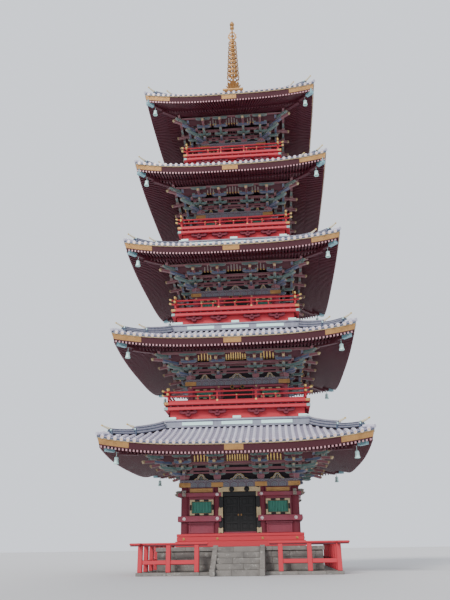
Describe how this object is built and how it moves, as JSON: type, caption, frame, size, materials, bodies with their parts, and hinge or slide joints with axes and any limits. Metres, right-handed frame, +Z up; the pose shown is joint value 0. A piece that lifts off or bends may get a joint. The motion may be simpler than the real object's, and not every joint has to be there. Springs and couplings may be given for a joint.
{
  "type": "five-storey pagoda",
  "caption": "Square timber pagoda of stacked storeys with wide curved eaves, railed balconies, a hinged double door and a ringed finial, on a stone podium.",
  "frame": {"origin": "on the ground, under the tower's vertical axis", "axes": "+Z up, -Y towards the front door and steps, +X to the right of someone facing the front"},
  "size_m": [12.2192, 12.2192, 36],
  "materials": {
    "stone": "matt cut stone",
    "red_lacquer": "red lacquer, satin",
    "dark_red_timber": "dark red lacquer",
    "painted_timber": "painted in blue, green and red with gilt ends",
    "black_lacquer": "black lacquer, glossy",
    "green_lattice": "green painted slats",
    "floor_boards": "bare boards",
    "copper_tile": "weathered copper sheet tiles",
    "gilt_bronze": "gilded bronze, weathered"
  },
  "bodies": {
    "tower": {"podium": "stone", "podium_railing": "red_lacquer", "front_steps": "stone", "ground_sill": "red_lacquer", "ground_floor": "floor_boards", "front_wall_left": "red_lacquer", "front_wall_right": "red_lacquer", "door_head": "red_lacquer", "door_threshold": "red_lacquer", "front_window_left": "green_lattice", "front_window_right": "green_lattice", "right_wall": "red_lacquer", "right_shutters": "green_lattice", "back_wall": "red_lacquer", "back_shutters": "green_lattice", "left_wall": "red_lacquer", "left_shutters": "green_lattice", "head_beam_1": "painted_timber", "brackets_1": "painted_timber", "eaves_1": "dark_red_timber", "roof_1": "copper_tile", "balcony_2": "red_lacquer", "railing_2": "red_lacquer", "walls_2": "red_lacquer", "shutters_2": "green_lattice", "brackets_2": "painted_timber", "eaves_2": "dark_red_timber", "roof_2": "copper_tile", "balcony_3": "red_lacquer", "railing_3": "red_lacquer", "walls_3": "red_lacquer", "shutters_3": "green_lattice", "brackets_3": "painted_timber", "eaves_3": "dark_red_timber", "roof_3": "copper_tile", "balcony_4": "red_lacquer", "railing_4": "red_lacquer", "walls_4": "red_lacquer", "shutters_4": "green_lattice", "brackets_4": "painted_timber", "eaves_4": "dark_red_timber", "roof_4": "copper_tile", "balcony_5": "red_lacquer", "railing_5": "red_lacquer", "walls_5": "red_lacquer", "shutters_5": "green_lattice", "brackets_5": "painted_timber", "eaves_5": "dark_red_timber", "roof_5": "copper_tile", "dew_basin": "gilt_bronze", "lotus_bowl": "gilt_bronze", "ring_mast": "gilt_bronze", "flame_and_jewel": "gilt_bronze"},
    "left_leaf": {"door_leaf_left": "black_lacquer"},
    "right_leaf": {"door_leaf_right": "black_lacquer"}
  },
  "joints": [
    {"name": "left_leaf_hinge", "type": "hinge", "parent": "tower", "child": "left_leaf", "pos_m": [-0.72, -2.65, 1.8], "axis": [0, 0, -1], "range_deg": [0, 90]},
    {"name": "right_leaf_hinge", "type": "hinge", "parent": "tower", "child": "right_leaf", "pos_m": [0.72, -2.65, 1.8], "axis": [0, 0, 1], "range_deg": [0, 90]}
  ]
}
